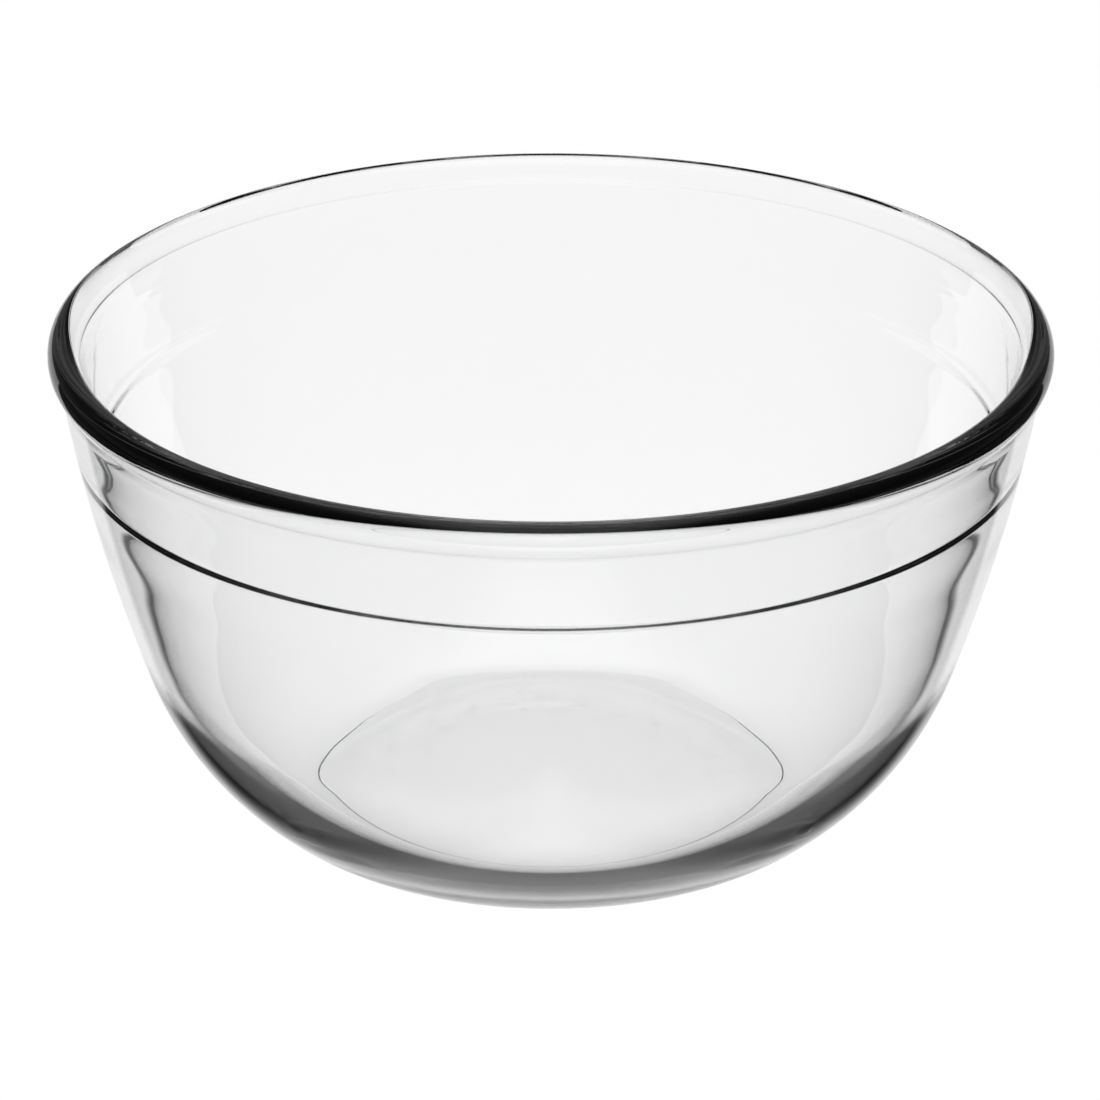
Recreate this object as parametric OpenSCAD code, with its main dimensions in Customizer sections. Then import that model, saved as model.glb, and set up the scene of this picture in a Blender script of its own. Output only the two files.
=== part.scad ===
// Mixing bowl of clear pressed glass, moulded in one piece.
// The whole bowl is one profile turned about the upright axis. A rolled bead finishes the rim.
// Below it an upright neck ends inside in a slight, soft ledge, and under the ledge the side
// sweeps through a thick heel to a low foot ring round a gentle hollow in the base.
// The wall swells and thins slightly on its way down, as the two halves of the mould leave it.

/* [Overall] */
// Diameter over the rim bead
rim_d = 210; // [190:1:240]
// Height from the table to the top of the bead
bowl_h = 109.5; // [100:0.5:125]

/* [Rim bead] */
// Width of the bead across the rim
bead_w = 6.6; // [5.6:0.1:8]
// Height of the bead
bead_h = 7.5; // [6:0.1:9]
// How far the bead stands out past the neck
bead_overhang = 2.3; // [1.6:0.1:2.6]
// Height of the hollow that blends the underside of the bead into the outer neck
bead_blend_h = 1; // [0.6:0.1:2]

/* [Side] */
// Lean of the neck from upright, in degrees
neck_lean = 9.3; // [6:0.1:12]
// Lean where the side meets the body sweep, in degrees
body_lean = 18.7; // [15:0.1:24]
// Lean where the body sweep meets the heel, in degrees
heel_lean = 50; // [42:0.5:58]
// Radius of the body sweep
body_r = 67.6; // [55:0.2:80]
// Radius of the heel
heel_r = 31; // [20:0.5:40]

/* [Wall] */
// Thickness of the neck just above the ledge
neck_t = 5.4; // [4.6:0.1:5.8]
// Thickness of the side just below the ledge
wall_t = 5.95; // [5.85:0.05:7]
// Thickness of the floor
floor_t = 6.8; // [5.6:0.1:9]

/* [Inner ledge] */
// Depth of the middle of the ledge below the top of the bead
ledge_depth = 25; // [22:0.5:32]
// Height over which the ledge eases the inner wall in from the neck to the side
ledge_h = 2.8; // [1.6:0.2:4]
// Height of the inner neck above the ledge, up to where it flares out to the bead
neck_in_h = 12.6; // [9:0.2:13]

/* [Foot] */
// Height of the low step round the outside of the foot ring
foot_step_h = 0.5; // [0.4:0.05:0.8]
// Width of the flat ring that rests on the table
foot_land = 12; // [6:0.5:16]
// Height of the gentle hollow inside the foot ring
foot_hollow_h = 0.8; // [0.4:0.1:1.5]
// Radius on both corners of the step
foot_round = 0.2; // [0.1:0.05:0.3]

/* [Hidden] */

// Angle on the bead section where the blend to the outer neck leaves it, in degrees below level
bead_out_a = 62;
// Flats in each arc of the profile
arc_steps = 12;
// Flats round the bowl in the preview mesh
$fn = 180;

// Stations up the side as shares of the height of the neck, and the wall's thickness at each of
// them, above the floor, as shares of its thickness at the ledge
stations_share = [0, 0.099, 0.178, 0.257, 0.327, 0.396, 0.465, 0.554, 0.653, 0.733, 0.797, 0.848];
walls_share = [1.097, 1.052, 1.014, 0.986, 0.966, 0.981, 1.005, 1.013, 0.999, 1.008, 1];
walls = concat([floor_t], wall_t * walls_share);

// Turns of the inner neck, from its top down to the ledge, as shares of its height, and how many
// degrees more than the outer side it leans at each of them
turns_share = [1, 0.746, 0.5, 0.246, 0];
turns = [-1.74, -0.11, -0.59, -2.17, -1.08];

// Bead centre and half sizes
bead_rx = bead_w / 2;
bead_rz = bead_h / 2;
bead_c = [rim_d / 2 - bead_rx, bowl_h - bead_rz];

// The outer side is three arcs in a chain, each tangent to the next, from the neck to the table.
// The radius of the long upper arc is what closes the chain at the table.
neck_p = [rim_d / 2 - bead_overhang, bowl_h - bead_h - bead_blend_h];
heel_rise = heel_r * (1 - sin(heel_lean));
body_rise = body_r * (sin(heel_lean) - sin(body_lean));
side_r = (neck_p.y - body_rise - heel_rise) / (sin(body_lean) - sin(neck_lean));
body_p = neck_p - swing(side_r, neck_lean, body_lean);
heel_p = body_p - swing(body_r, body_lean, heel_lean);

// Lean of the heel where the step of the foot ring cuts it
step_lean = asin(1 - foot_step_h / heel_r);
step_p = side_point(step_lean);
foot_p = [step_p.x - foot_step_h / 2, 0];

// The inner ledge, from its root on the neck down to its lip on the side
root_z = bowl_h - ledge_depth + ledge_h / 2;
root_p = inset(lean_at(root_z, neck_t), neck_t);
lip_lean = lean_at(root_z - ledge_h, wall_t);
lip_p = inset(lip_lean, wall_at(lip_lean));

// Run and fall along an arc of radius r while its lean grows from a to b
function swing(r, a, b) = r * [cos(a) - cos(b), sin(b) - sin(a)];

// Outer point where the side leans by a
function side_point(a) =
    a <= body_lean ? neck_p - swing(side_r, neck_lean, a)
    : a <= heel_lean ? body_p - swing(body_r, body_lean, a)
    : heel_p - swing(heel_r, heel_lean, a);

// Point at depth t inside the wall, square to the outer side where it leans by a
function inset(a, t) = side_point(a) + t * [-cos(a), sin(a)];

// Lean at which the inset by t of the side's long arc has the height z
function lean_at(z, t = 0) = asin((neck_p.y + side_r * sin(neck_lean) - z) / (side_r - t));

// Value at x of a smooth curve through the stations xs with values ys: a cubic in each span,
// whose slope at a station is that of the line between the two stations beside it
function last(v) = len(v) - 1;
function slope(xs, ys, i) =
    let (a = max(i - 1, 0))
    let (b = min(i + 1, last(xs)))
    (ys[b] - ys[a]) / (xs[b] - xs[a]);
function span_at(xs, x, i = 0) = i == last(xs) - 1 || x < xs[i + 1] ? i : span_at(xs, x, i + 1);
function smooth(xs, ys, x) =
    let (i = span_at(xs, x))
    let (h = xs[i + 1] - xs[i])
    let (s = (x - xs[i]) / h)
    let (ends = ys[i] * (1 + 2 * s) * (1 - s) * (1 - s) + ys[i + 1] * s * s * (3 - 2 * s))
    ends + h * s * (1 - s) * (slope(xs, ys, i) * (1 - s) - slope(xs, ys, i + 1) * s);

// Wall thickness where the outer side leans by a
function wall_at(a) = smooth(stations_share, walls, side_point(a).y / neck_p.y);

// Leans from a to b in n equal steps, without the first
function leans(a, b, n = arc_steps) = [for (i = [1 : n]) a + (b - a) * i / n];

// Point of the bead section at angle a
function bead_point(a) = bead_c + [bead_rx * cos(a), bead_rz * sin(a)];

// Where the line from p along u crosses the line from q along w
function meet(p, u, q, w) = p + u * cross(q - p, w) / cross(u, w);

// Smooth blend from p to s that leaves and arrives along the lines to q, without the first point
function blend(p, q, s) =
    [for (i = [1 : arc_steps]) let (k = i / arc_steps)
        p * (1 - k) * (1 - k) + q * 2 * k * (1 - k) + s * k * k];

// S curve from p to s, a cubic with handles of half their distance, that leaves p along u and
// arrives along w, without the first point
function ease(p, u, s, w) =
    let (h = norm(s - p) / 2)
    [for (i = [1 : arc_steps]) let (k = i / arc_steps)
        (p * (1 + 2 * k) + u * 3 * h * k) * (1 - k) * (1 - k)
        + (s * (3 - 2 * k) - w * 3 * h * (1 - k)) * k * k];

// Round the corner q between p and s with radius r
function unit(v) = v / norm(v);
function rounded(p, q, s, r) =
    let (u = unit(p - q))
    let (w = unit(s - q))
    let (half = acos(u * w) / 2)
    let (c = q + unit(u + w) * r / sin(half))
    let (from = q + u * r / tan(half) - c)
    let (turn = sign(cross(from, q + w * r / tan(half) - c)) * (180 - 2 * half))
    [for (i = [0 : arc_steps / 2])
        let (a = turn * i * 2 / arc_steps)
        c + [from.x * cos(a) - from.y * sin(a), from.x * sin(a) + from.y * cos(a)]];

// Underside: the hollow is a shallow bowl shape of its own, then come the flat ring and its step
hollow_r = foot_p.x - foot_land;
underside = concat(
    [for (i = [0 : arc_steps]) let (k = i / arc_steps) [hollow_r * k, foot_hollow_h * (1 - k * k)]],
    rounded([hollow_r, 0], foot_p, step_p, foot_round),
    rounded(foot_p, step_p, side_point(heel_lean), foot_round));

// Outer side from the foot ring up to the neck
heel_leans = leans(step_lean - (90 - step_lean) / 4, heel_lean, 2 * arc_steps);
side_leans = concat(heel_leans, leans(heel_lean, body_lean), leans(body_lean, neck_lean));
outside = [for (a = side_leans) side_point(a)];

// Inner neck: arcs in a chain, each tangent to the next, from its top down to the ledge. The run
// of each arc is summed from the ledge up, so that the chain ends at the root of the ledge.
turn_z = [for (k = turns_share) root_z + neck_in_h * k];
turn_a = [for (i = [0 : last(turns)]) lean_at(turn_z[i]) + turns[i]];
function neck_arc_r(i) = (turn_z[i] - turn_z[i + 1]) / (sin(turn_a[i + 1]) - sin(turn_a[i]));
function neck_arc_p(i) =
    i == last(turns) ? root_p
    : neck_arc_p(i + 1) + swing(neck_arc_r(i), turn_a[i], turn_a[i + 1]);
neck_top = neck_arc_p(0);
neck_in = [for (i = [0 : last(turns) - 1]) for (a = leans(turn_a[i], turn_a[i + 1], arc_steps / 4))
    neck_arc_p(i) - swing(neck_arc_r(i), turn_a[i], a)];

// Bead: the blend out from the neck, then round the section and over the top to where the flare
// of the inner neck touches it
bead_end = bead_point(-bead_out_a);
bead_end_dir = [bead_rx * sin(bead_out_a), bead_rz * cos(bead_out_a)];
blend_p = meet(bead_end, bead_end_dir, neck_p, [sin(neck_lean), cos(neck_lean)]);
bead_under = blend(neck_p, blend_p, bead_end);
top_seen = [neck_top.x - bead_c.x, (neck_top.y - bead_c.y) * bead_rx / bead_rz];
bead_touch_a = 360 + atan2(top_seen.y, top_seen.x) - acos(bead_rx / norm(top_seen));
bead_top = [for (a = leans(-bead_out_a, bead_touch_a, 3 * arc_steps)) bead_point(a)];

// Ledge, and the inner wall from it down to the floor
inside_leans = concat(
    leans(lip_lean, body_lean, 2 * arc_steps), leans(body_lean, heel_lean), leans(heel_lean, 90));
wall_in = [for (a = inside_leans) inset(a, wall_at(a))];
inside = concat(wall_in, [[0, floor_t]]);
root_a = turn_a[last(turns)];
ledge = ease(root_p, [-sin(root_a), -cos(root_a)], lip_p, unit(wall_in[0] - lip_p));

module bowl() {
    color("lightcyan")
    rotate_extrude()
    polygon(concat(underside, outside, bead_under, bead_top, [neck_top], neck_in, ledge, inside));
}

bowl();
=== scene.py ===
"""A clear pressed-glass mixing bowl on a white sweep, in metres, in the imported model's frame."""
import math

import bpy
import numpy as np
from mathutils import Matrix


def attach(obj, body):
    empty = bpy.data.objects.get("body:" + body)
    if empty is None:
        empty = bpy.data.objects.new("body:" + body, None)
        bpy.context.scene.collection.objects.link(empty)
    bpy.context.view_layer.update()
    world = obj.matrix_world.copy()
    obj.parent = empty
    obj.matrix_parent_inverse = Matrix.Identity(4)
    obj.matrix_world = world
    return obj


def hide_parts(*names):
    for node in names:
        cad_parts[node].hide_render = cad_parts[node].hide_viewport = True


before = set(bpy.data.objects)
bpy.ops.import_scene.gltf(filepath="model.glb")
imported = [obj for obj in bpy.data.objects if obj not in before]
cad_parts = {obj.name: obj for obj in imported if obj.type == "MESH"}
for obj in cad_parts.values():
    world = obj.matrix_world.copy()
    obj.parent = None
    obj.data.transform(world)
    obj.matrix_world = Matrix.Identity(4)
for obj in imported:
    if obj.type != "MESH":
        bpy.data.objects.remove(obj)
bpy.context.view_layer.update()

scene = bpy.context.scene

# Bowl
# The real bowl is one pressing of clear glass. A plunger shapes the inside, with its slight
# soft ledge, and a mould the outside; the rim bead is rolled by the flame that polishes it.
# It is one profile, in millimetres as radius and height, turned about the upright axis.

RIM_R = 105.0
BOWL_H = 109.5
BEAD_RX = 3.3
BEAD_RZ = 3.75
BEAD_OVERHANG = 2.3
BEAD_BLEND_H = 1.0
BEAD_OUT = math.radians(62)
NECK_LEAN = math.radians(9.3)
BODY_LEAN = math.radians(18.7)
HEEL_LEAN = math.radians(50)
BODY_R = 67.6
HEEL_R = 31.0
NECK_T = 5.4
WALL_T = 5.95
FLOOR_T = 6.8
ROOT_Z = 85.9
LEDGE_H = 2.8
NECK_IN_H = 12.6
FOOT_STEP_H = 0.5
FOOT_LAND = 12.0
FOOT_HOLLOW_H = 0.8
FOOT_ROUND = 0.2
# Wall thickness above the floor, as shares of the wall at the ledge, and the stations of all
# the thicknesses as shares of the neck's height
STATIONS = np.array(
    [0, 0.099, 0.178, 0.257, 0.327, 0.396, 0.465, 0.554, 0.653, 0.733, 0.797, 0.848])
WALLS = np.array([1.097, 1.052, 1.014, 0.986, 0.966, 0.981, 1.005, 1.013, 0.999, 1.008, 1])
# Turns of the inner neck as shares of its height, and its lean there over the outer side's
TURNS = np.array([1, 0.746, 0.5, 0.246, 0])
TURN_LEANS = np.radians([-1.74, -0.11, -0.59, -2.17, -1.08])
# Points on each stretch of the profile, points round the bowl, and millimetres in a metre
HOLLOW_POINTS, LAND_POINTS, CORNER_POINTS = 15, 6, 7
HEEL_POINTS, SWEEP_POINTS, SIDE_POINTS = 30, 22, 20
BLEND_POINTS, BEAD_POINTS, FLARE_POINTS = 9, 54, 5
NECK_ARC_POINTS, LEDGE_POINTS = 6, 17
IN_SIDE_POINTS, IN_SWEEP_POINTS, IN_HEEL_POINTS, FLOOR_POINTS = 26, 26, 28, 9
ROUND_TURNS = 320
MM = 1000


def swing(r, a, b):
    """Run r(cos a - cos b) and fall r(sin b - sin a) along an arc whose lean grows from a to b."""
    return r * np.stack([np.cos(a) - np.cos(b), np.sin(b) - np.sin(a)], -1)


def outer(a):
    """Outer side where it leans by a: three tangent arcs, each the swing from the last joint."""
    a = np.atleast_1d(a)
    in_body = body - swing(BODY_R, BODY_LEAN, a)
    in_heel = heel - swing(HEEL_R, HEEL_LEAN, a)
    low = np.where(a[:, None] <= HEEL_LEAN, in_body, in_heel)
    return np.where(a[:, None] <= BODY_LEAN, neck - swing(side_r, NECK_LEAN, a), low)


def inset(a, t):
    """Outer point at lean a moved in by t along the normal (-cos a, sin a)."""
    a = np.atleast_1d(a)
    inward = np.stack([-np.cos(a), np.sin(a)], -1)
    return outer(a) + np.broadcast_to(t, a.shape)[:, None] * inward


def lean_at(z, t=0.0):
    """Lean at which the long arc's inset by t has height z: its sine is the height of the arc's
    centre less z, over the radius less t."""
    return np.arcsin((neck[1] + side_r * math.sin(NECK_LEAN) - z) / (side_r - t))


def smooth(xs, ys, x):
    """Cubic Hermite curve through (xs, ys) at x, with each station's slope that of the line
    between its two neighbours."""
    n = np.arange(len(xs))
    before, after = np.maximum(n - 1, 0), np.minimum(n + 1, len(xs) - 1)
    slope = (ys[after] - ys[before]) / (xs[after] - xs[before])
    i = np.clip(np.searchsorted(xs, x, side="right") - 1, 0, len(xs) - 2)
    h = xs[i + 1] - xs[i]
    s = (x - xs[i]) / h
    ends = ys[i] * (1 + 2 * s) * (1 - s) ** 2 + ys[i + 1] * s * s * (3 - 2 * s)
    return ends + h * s * (1 - s) * (slope[i] * (1 - s) - slope[i + 1] * s)


def wall(a):
    """Wall thickness where the outer side leans by a, from the stations up the side."""
    return smooth(STATIONS, np.append(FLOOR_T, WALL_T * WALLS), outer(a)[:, 1] / neck[1])


def leans(a, b, n):
    """The n leans after a, in equal steps up to b."""
    return np.linspace(a, b, n + 1)[1:]


def bead_point(a):
    """Point of the bead's ellipse at angle a, from its outermost point up."""
    return bead_c + np.stack([BEAD_RX * np.cos(a), BEAD_RZ * np.sin(a)], -1)


def unit(v):
    """v over its length."""
    return v / np.linalg.norm(v)


def rounded(p, q, s, r):
    """Arc of radius r that rounds the corner q between p and s: its centre lies on the bisector
    at r / sin(half the corner), and it turns by 180 degrees less the corner."""
    u, w = unit(p - q), unit(s - q)
    half = math.acos(u @ w) / 2
    c = q + unit(u + w) * r / math.sin(half)
    v = q + u * r / math.tan(half) - c
    end = q + w * r / math.tan(half) - c
    k = np.sign(v[0] * end[1] - v[1] * end[0]) * (math.pi - 2 * half)
    k = k * np.linspace(0, 1, CORNER_POINTS)
    x = v[0] * np.cos(k) - v[1] * np.sin(k)
    y = v[0] * np.sin(k) + v[1] * np.cos(k)
    return c + np.stack([x, y], -1)


neck = np.array([RIM_R - BEAD_OVERHANG, BOWL_H - 2 * BEAD_RZ - BEAD_BLEND_H])
heel_rise = HEEL_R * (1 - math.sin(HEEL_LEAN))
body_rise = BODY_R * (math.sin(HEEL_LEAN) - math.sin(BODY_LEAN))
side_r = (neck[1] - body_rise - heel_rise) / (math.sin(BODY_LEAN) - math.sin(NECK_LEAN))
body = neck - swing(side_r, NECK_LEAN, BODY_LEAN)
heel = body - swing(BODY_R, BODY_LEAN, HEEL_LEAN)
bead_c = np.array([RIM_R - BEAD_RX, BOWL_H - BEAD_RZ])


def underside_and_side():
    """Profile from the axis under the floor out over the hollow, a parabola that falls to 0 at
    the ring, over the ring and its step, and up the outer side to the neck."""
    step_lean = math.asin(1 - FOOT_STEP_H / HEEL_R)
    step = outer(step_lean)[0]
    foot = np.array([step[0] - FOOT_STEP_H / 2, 0])
    k = np.linspace(0, 1, HOLLOW_POINTS)
    ring = foot[0] - FOOT_LAND
    hollow = np.stack([ring * k, FOOT_HOLLOW_H * (1 - k * k)], -1)
    land = np.linspace([ring, 0], foot, LAND_POINTS)[1:-1]
    first = step_lean - (math.pi / 2 - step_lean) / 4
    side = outer(np.concatenate([
        leans(first, HEEL_LEAN, HEEL_POINTS),
        leans(HEEL_LEAN, BODY_LEAN, SWEEP_POINTS),
        leans(BODY_LEAN, NECK_LEAN, SIDE_POINTS),
    ]))
    return [hollow, land, rounded(hollow[-1], foot, step, FOOT_ROUND),
            rounded(foot, step, side[0], FOOT_ROUND), side]


def inner_neck():
    """Inner neck from its top down to the root of the ledge, and its lean there: a chain of
    tangent arcs of radius fall / (sin b - sin a), whose runs are summed from the root up."""
    z = ROOT_Z + NECK_IN_H * TURNS
    a = lean_at(z) + TURN_LEANS
    r = (z[:-1] - z[1:]) / (np.sin(a[1:]) - np.sin(a[:-1]))
    runs = swing(r[:, None], a[:-1], a[1:])
    tops = inset(lean_at(ROOT_Z, NECK_T), NECK_T)[0] + np.cumsum(runs[::-1], 0)[::-1]
    arcs = [tops[i] - swing(r[i], a[i], leans(a[i], a[i + 1], NECK_ARC_POINTS))
            for i in range(len(r))]
    return np.concatenate([tops[:1]] + arcs), a[-1]


def bead(neck_top):
    """The blend out from the neck, a quadratic curve tangent to both, then the bead's ellipse
    over the top to where the straight flare up from the inner neck touches it."""
    end = bead_point(-BEAD_OUT)
    u = np.array([BEAD_RX * math.sin(BEAD_OUT), BEAD_RZ * math.cos(BEAD_OUT)])
    w = np.array([math.sin(NECK_LEAN), math.cos(NECK_LEAN)])
    d = neck - end
    middle = end + u * (d[0] * w[1] - d[1] * w[0]) / (u[0] * w[1] - u[1] * w[0])
    k = np.linspace(0, 1, BLEND_POINTS)[1:, None]
    blend = neck * (1 - k) ** 2 + middle * 2 * k * (1 - k) + end * k * k
    seen = np.array([neck_top[0] - bead_c[0], (neck_top[1] - bead_c[1]) * BEAD_RX / BEAD_RZ])
    touch = 2 * math.pi + math.atan2(seen[1], seen[0]) - math.acos(BEAD_RX / np.linalg.norm(seen))
    over = bead_point(leans(-BEAD_OUT, touch, BEAD_POINTS))
    return [blend, over, np.linspace(over[-1], neck_top, FLARE_POINTS)[1:-1]]


def inside():
    """Profile from the inner neck down an S curve, a cubic with handles of half the distance
    between its ends, and down the inner wall, the outer side inset by the wall, to the axis."""
    neck_wall, root_lean = inner_neck()
    root = neck_wall[-1]
    lip_lean = lean_at(ROOT_Z - LEDGE_H, WALL_T)
    lip = inset(lip_lean, wall(lip_lean))[0]
    a = np.concatenate([
        leans(lip_lean, BODY_LEAN, IN_SIDE_POINTS),
        leans(BODY_LEAN, HEEL_LEAN, IN_SWEEP_POINTS),
        leans(HEEL_LEAN, math.pi / 2, IN_HEEL_POINTS),
    ])
    side = inset(a, wall(a))
    down = -np.array([math.sin(root_lean), math.cos(root_lean)])
    arrive = unit(side[0] - lip)
    h = np.linalg.norm(lip - root) / 2
    k = np.linspace(0, 1, LEDGE_POINTS)[1:, None]
    from_root = (root * (1 + 2 * k) + down * 3 * h * k) * (1 - k) ** 2
    to_lip = (lip * (3 - 2 * k) - arrive * 3 * h * (1 - k)) * k * k
    ledge = from_root + to_lip
    flat = np.linspace(side[-1], [0, FLOOR_T], FLOOR_POINTS)[1:]
    return [neck_wall, ledge, side, flat]


def turned(name, profile, turns):
    """Surface of revolution: point (r, z) of the profile goes to (r cos t, r sin t, z), in
    metres, and the profile's two ends close on the axis."""
    ring = profile[1:-1] / MM
    t = np.arange(turns) * 2 * math.pi / turns
    n = len(ring)
    co = np.empty((turns, n, 3))
    co[:, :, 0] = ring[None, :, 0] * np.cos(t)[:, None]
    co[:, :, 1] = ring[None, :, 0] * np.sin(t)[:, None]
    co[:, :, 2] = ring[None, :, 1]
    ends = [[0, 0, profile[0][1] / MM], [0, 0, profile[-1][1] / MM]]
    i, j = np.arange(turns)[:, None], np.arange(n - 1)[None, :]
    ni = (i + 1) % turns
    quads = np.stack([i * n + j, ni * n + j, ni * n + j + 1, i * n + j + 1], -1).reshape(-1, 4)
    k = np.arange(turns)
    nk = (k + 1) % turns
    low, high = np.full(turns, turns * n), np.full(turns, turns * n + 1)
    caps = np.concatenate([
        np.stack([low, nk * n, k * n], -1),
        np.stack([high, k * n + n - 1, nk * n + n - 1], -1),
    ])
    mesh = bpy.data.meshes.new(name)
    points = np.concatenate([co.reshape(-1, 3), ends])
    mesh.from_pydata(points.tolist(), [], quads.tolist() + caps.tolist())
    mesh.polygons.foreach_set("use_smooth", np.ones(len(mesh.polygons), dtype=bool))
    mesh.update()
    obj = bpy.data.objects.new(name, mesh)
    scene.collection.objects.link(obj)
    return obj


inner_side = inside()
profile = np.concatenate(underside_and_side() + bead(inner_side[0][0]) + inner_side)
glass_bowl = turned("glass_bowl", profile, ROUND_TURNS)

# Clear pressed glass. The mould leaves a faint slow waviness, and the table has scuffed the flat
# of the foot ring in fine patches, full below the first SCUFF_HEIGHTS and none above the second.
GLASS_INDEX = 1.475
GLASS_TINT = (0.983, 0.985, 0.984, 1)
WAVE_SCALE, WAVE_DETAIL, WAVE_HEIGHT = 22, 1.5, 0.00002
RUB_SCALE, RUB_DETAIL, RUB_PATCHES = 240, 3, (0.46, 0.64)
SCUFF_HEIGHTS = (0.0002, 0.0004)
SCUFF_ROUGHNESS = 0.16


def math_node(tree, operation, *inputs):
    """A math node of one operation, each of its inputs a number or a socket; gives its output."""
    node = tree.nodes.new("ShaderNodeMath")
    node.operation = operation
    for socket, value in zip(node.inputs, inputs):
        if isinstance(value, (int, float)):
            socket.default_value = value
        else:
            tree.links.new(value, socket)
    return node.outputs[0]


def between(tree, value, low, high):
    """0 below low, 1 above high, and the cubic 3s^2 - 2s^3 of the share s between them."""
    node = tree.nodes.new("ShaderNodeMapRange")
    node.interpolation_type = "SMOOTHSTEP"
    node.inputs["From Min"].default_value = low
    node.inputs["From Max"].default_value = high
    tree.links.new(value, node.inputs["Value"])
    return node.outputs["Result"]


glass = bpy.data.materials.new("clear_glass")
glass.use_nodes = True
nodes, links = glass.node_tree.nodes, glass.node_tree.links
shader = nodes["Principled BSDF"]
shader.inputs["IOR"].default_value = GLASS_INDEX
shader.inputs["Transmission Weight"].default_value = 1.0
shader.inputs["Base Color"].default_value = GLASS_TINT
coords = nodes.new("ShaderNodeTexCoord")
waves = nodes.new("ShaderNodeTexNoise")
waves.inputs["Scale"].default_value = WAVE_SCALE
waves.inputs["Detail"].default_value = WAVE_DETAIL
links.new(coords.outputs["Object"], waves.inputs["Vector"])
bump = nodes.new("ShaderNodeBump")
bump.inputs["Strength"].default_value = 1
bump.inputs["Distance"].default_value = WAVE_HEIGHT
links.new(waves.outputs["Fac"], bump.inputs["Height"])
links.new(bump.outputs["Normal"], shader.inputs["Normal"])
rubs = nodes.new("ShaderNodeTexNoise")
rubs.inputs["Scale"].default_value = RUB_SCALE
rubs.inputs["Detail"].default_value = RUB_DETAIL
height = nodes.new("ShaderNodeSeparateXYZ")
for socket in (rubs.inputs["Vector"], height.inputs[0]):
    links.new(coords.outputs["Object"], socket)
tree = glass.node_tree
above = between(tree, height.outputs["Z"], *SCUFF_HEIGHTS)
patches = between(tree, rubs.outputs["Fac"], *RUB_PATCHES)
scuffed = math_node(tree, "MULTIPLY", math_node(tree, "SUBTRACT", 1, above), patches)
links.new(math_node(tree, "MULTIPLY", scuffed, SCUFF_ROUGHNESS), shader.inputs["Roughness"])
glass_bowl.data.materials.append(glass)

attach(glass_bowl, "root")
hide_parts("bowl")

# Floor
# A matt white paper sweep. Seen straight, or straight through the glass, it is white all over.
# What the glass reflects of it is painted shade and painted light in the paper's colour, darker
# than white, fitted to the dark contours in the photograph. It isn't what real paper would do.

FLOOR_HALF = 4.0
FLOOR_DROP = 0.00005
PAPER_WHITE = 0.8
PAPER_GLOW = 0.2
# The paper that the glass reflects has painted light behind the bowl and painted shade outside
# two slanting edges, on which |x| less LEAN times y is constant. Soft edges in metres, for the
# reflections in the outside of the glass, for one reflection inside it, and for more of them.
LEAN = 0.87
OUTER_EDGE, INNER_EDGE, DEEP_EDGE = (0.082, 0.104), (0.099, 0.113), (0.09, 0.11)
# Greys of the painted light, of the painted light after more reflections, and of the painted shade
LIT_LEVEL, DEEP_LEVEL, DARK_LEVEL = 0.93, 0.7, 0.05
# Close to the bowl the reflected paper has painted shadow in rings: grey by distance from the
# axis, and the two distances between which the rings give way to the paper further out
SHADE_R = 0.1
INNER_RINGS = [
    (0, 0.3), (0.046, 0.3), (0.054, 0.12), (0.058, 0.5), (0.061, 0.1),
    (0.066, 0.08), (0.074, 0.13), (0.09, 0.13), (0.1, 0.3),
]
DEEP_RINGS = [(0, 0.45), (0.038, 0.4), (0.046, 0.22), (0.054, 0.06), (0.07, 0.06)]
INNER_REACH, DEEP_REACH = (0.094, 0.11), (0.066, 0.076)


def grey_ramp(tree, value, stops):
    """A ramp of greys over the value, through the stops (value, grey); gives its output."""
    node = tree.nodes.new("ShaderNodeValToRGB")
    while len(node.color_ramp.elements) < len(stops):
        node.color_ramp.elements.new(0.5)
    for element, (at, grey) in zip(node.color_ramp.elements, stops):
        element.position = at
        element.color = (grey, grey, grey, 1)
    tree.links.new(value, node.inputs["Fac"])
    return node.outputs["Color"]


def mixed(tree, factor, a, b):
    """Grey or colour a where the factor is 0 and b where it is 1; gives the output."""
    node = tree.nodes.new("ShaderNodeMix")
    node.data_type = "RGBA"
    tree.links.new(factor, node.inputs["Factor"])
    for name, value in (("A", a), ("B", b)):
        if isinstance(value, (int, float)):
            node.inputs[name].default_value = (value, value, value, 1)
        else:
            tree.links.new(value, node.inputs[name])
    return node.outputs["Result"]


def at_least(tree, depth, count):
    """1 where the ray's depth is count or more, and 0 where it is less."""
    return math_node(tree, "GREATER_THAN", depth, count - 0.5)


corners = [(-1, -1), (1, -1), (1, 1), (-1, 1)]
sheet_corners = [(x * FLOOR_HALF, y * FLOOR_HALF, -FLOOR_DROP) for x, y in corners]
floor_mesh = bpy.data.meshes.new("floor")
floor_mesh.from_pydata(sheet_corners, [], [(0, 1, 2, 3)])
floor = bpy.data.objects.new("floor", floor_mesh)
scene.collection.objects.link(floor)
paper = bpy.data.materials.new("white_paper")
paper.use_nodes = True
tree = paper.node_tree
shader = tree.nodes["Principled BSDF"]
shader.inputs["Roughness"].default_value = 1.0
shader.inputs["Specular IOR Level"].default_value = 0.0
path = tree.nodes.new("ShaderNodeLightPath")
coords = tree.nodes.new("ShaderNodeTexCoord")
radius = tree.nodes.new("ShaderNodeVectorMath")
radius.operation = "LENGTH"
place = tree.nodes.new("ShaderNodeSeparateXYZ")
for socket in (radius.inputs[0], place.inputs[0]):
    tree.links.new(coords.outputs["Object"], socket)
distance = radius.outputs["Value"]
across = math_node(tree, "ABSOLUTE", place.outputs["X"])
along = math_node(tree, "MULTIPLY", place.outputs["Y"], LEAN)
aside = math_node(tree, "SUBTRACT", across, along)


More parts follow.
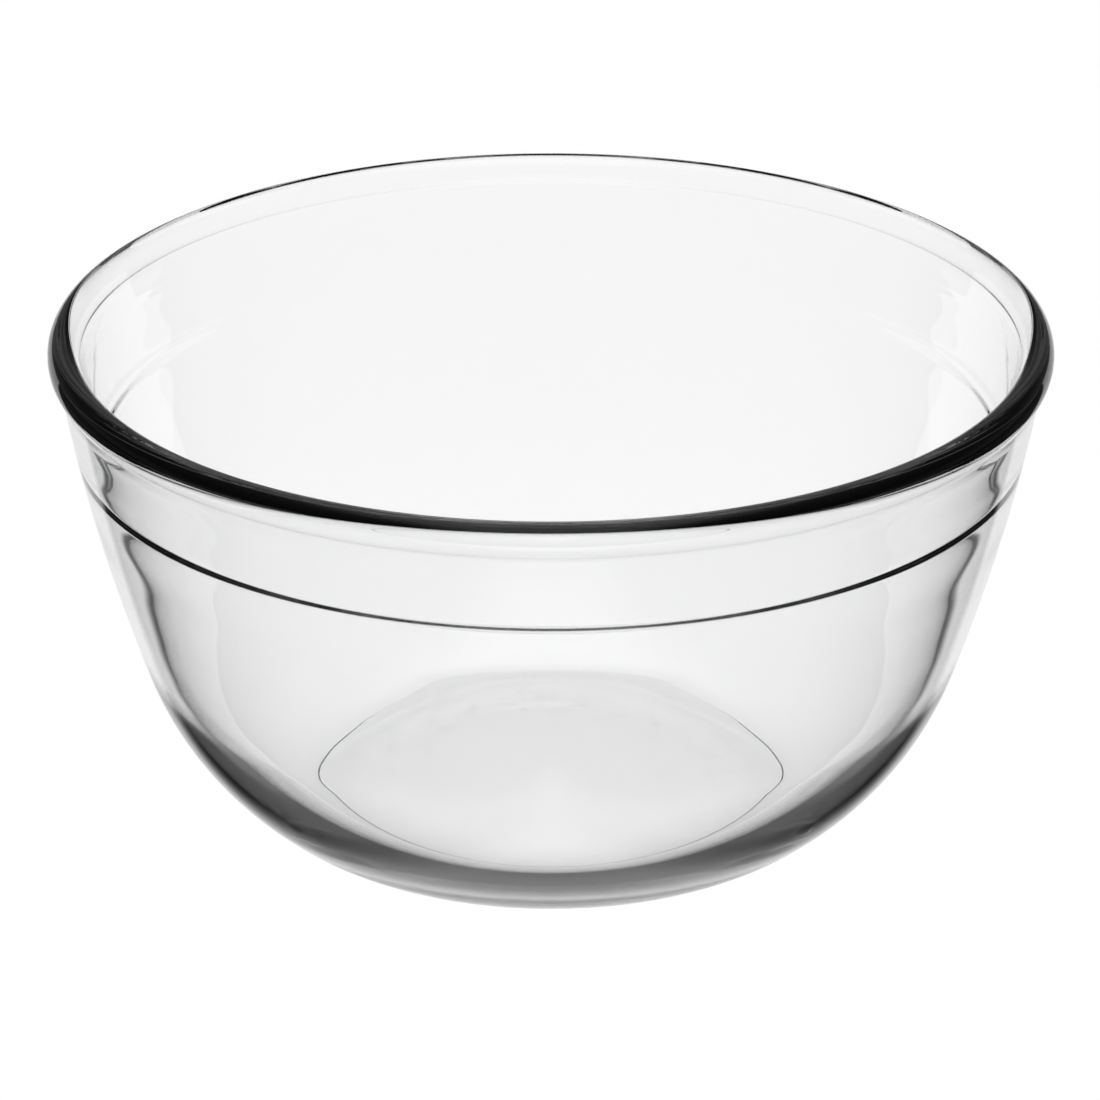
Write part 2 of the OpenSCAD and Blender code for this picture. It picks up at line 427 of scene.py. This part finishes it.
def painted_lit_edge(edge, lit):
    """Painted light on the paper, which turns to painted shade across the edge."""
    return mixed(tree, between(tree, aside, *edge), lit, DARK_LEVEL)


def painted_shadow_rings(rings, reach, beyond):
    """The rings of painted shadow close to the bowl, which give way to the paper beyond their
    reach.
    """
    share = math_node(tree, "DIVIDE", distance, SHADE_R)
    near = grey_ramp(tree, share, [(r / SHADE_R, grey) for r, grey in rings])
    return mixed(tree, between(tree, distance, *reach), near, beyond)


outer_shade = painted_lit_edge(OUTER_EDGE, LIT_LEVEL)
inner_shade = painted_shadow_rings(INNER_RINGS, INNER_REACH, painted_lit_edge(INNER_EDGE, LIT_LEVEL))
deep_shade = painted_shadow_rings(DEEP_RINGS, DEEP_REACH, painted_lit_edge(DEEP_EDGE, DEEP_LEVEL))
# Rays the glass has reflected see the painted light and shade in the paper's colour and glow;
# all other rays see it plain white
once = at_least(tree, path.outputs["Glossy Depth"], 1)
twice = at_least(tree, path.outputs["Glossy Depth"], 2)
inside_glass = at_least(tree, path.outputs["Transmission Depth"], 1)
one_bounce = mixed(tree, inside_glass, outer_shade, inner_shade)
level = mixed(tree, once, 1, mixed(tree, twice, one_bounce, deep_shade))
tree.links.new(level, shader.inputs["Emission Color"])
dimmed = tree.nodes.new("ShaderNodeVectorMath")
dimmed.operation = "SCALE"
dimmed.inputs["Scale"].default_value = PAPER_WHITE
tree.links.new(level, dimmed.inputs[0])
tree.links.new(dimmed.outputs["Vector"], shader.inputs["Base Color"])
scattered = at_least(tree, path.outputs["Diffuse Depth"], 1)
direct = math_node(tree, "SUBTRACT", 1, scattered)
glow = math_node(tree, "MULTIPLY", direct, PAPER_GLOW)
tree.links.new(glow, shader.inputs["Emission Strength"])
floor_mesh.materials.append(paper)

# Studio light
# The world is the studio. It is plain white to the camera, to the paper and to rays that go
# straight through the glass. Rays that the glass has reflected meet a dim room instead, with a
# long soft light overhead, fitted to the photograph as the painted shade on the paper is.

# Elevation in degrees and light there, of the room at large and of the long soft light that
# hangs over the bowl from front to back, whose light fades across STRIP_SIDES, as the share of
# the direction that points sideways
ROOM = [(0, 0.12), (20, 0.05), (46, 0.09), (60, 0.14), (72, 0.35), (82, 0.9)]
STRIP = [(0, 0.12), (20, 0.05), (36, 0.06), (46, 0.45), (60, 0.85), (90, 0.95)]
STRIP_SIDES = (0.12, 0.45)
# Light that reaches the paper through the glass. Over 1, it makes the bowl's floor as pale as
# photographed, and it also fills the bowl's shadow.
SHADOW_LIGHT = 1.28
# The most times that light may bounce in all, and be reflected
BOUNCES, REFLECTIONS = 32, 16
world = bpy.data.worlds.new("studio")
scene.world = world
world.use_nodes = True
tree = world.node_tree
path = tree.nodes.new("ShaderNodeLightPath")
coords = tree.nodes.new("ShaderNodeTexCoord")
split = tree.nodes.new("ShaderNodeSeparateXYZ")
tree.links.new(coords.outputs["Generated"], split.inputs[0])


def dome(lights):
    """Light by elevation: a ramp over the upward share of the direction, sin(elevation)."""
    stops = [(math.sin(math.radians(up)), grey) for up, grey in lights]
    return grey_ramp(tree, split.outputs["Z"], stops)


room, strip = dome(ROOM), dome(STRIP)
beside = between(tree, math_node(tree, "ABSOLUTE", split.outputs["X"]), *STRIP_SIDES)
once = at_least(tree, path.outputs["Glossy Depth"], 1)
seen = mixed(tree, once, 1, mixed(tree, beside, strip, room))
onto_paper = at_least(tree, path.outputs["Diffuse Depth"], 1)
through_glass = mixed(tree, path.outputs["Is Transmission Ray"], 1, SHADOW_LIGHT)
light = mixed(tree, onto_paper, seen, through_glass)
tree.links.new(light, tree.nodes["Background"].inputs["Color"])

scene.view_settings.view_transform = "Standard"
# Blurring would roughen the clear glass for light on its way to the paper, and darken its floor
scene.cycles.blur_glossy = 0.0
scene.cycles.max_bounces = BOUNCES
scene.cycles.transmission_bounces = BOUNCES
scene.cycles.glossy_bounces = REFLECTIONS

# Camera
# Fitted to the photograph's outline, bead and ledge line, on a 1100 pixel frame.

CAM_PITCH = math.radians(24.51)
CAM_DIST = 1.2
FRAME_PX = 1100
FOCAL_PX = 5635.0
SHIFT_PX = (-0.85, 12.24)
SENSOR_MM = 36
cam_data = bpy.data.cameras.new("camera")
cam_data.sensor_width = SENSOR_MM
cam_data.lens = FOCAL_PX / FRAME_PX * SENSOR_MM
cam_data.shift_x = SHIFT_PX[0] / FRAME_PX
cam_data.shift_y = SHIFT_PX[1] / FRAME_PX
camera = bpy.data.objects.new("camera", cam_data)
aim_z = BOWL_H / 2 / MM
back, up = CAM_DIST * math.cos(CAM_PITCH), CAM_DIST * math.sin(CAM_PITCH)
camera.location = (0, -back, aim_z + up)
camera.rotation_euler = (math.pi / 2 - CAM_PITCH, 0, 0)
scene.collection.objects.link(camera)
scene.camera = camera
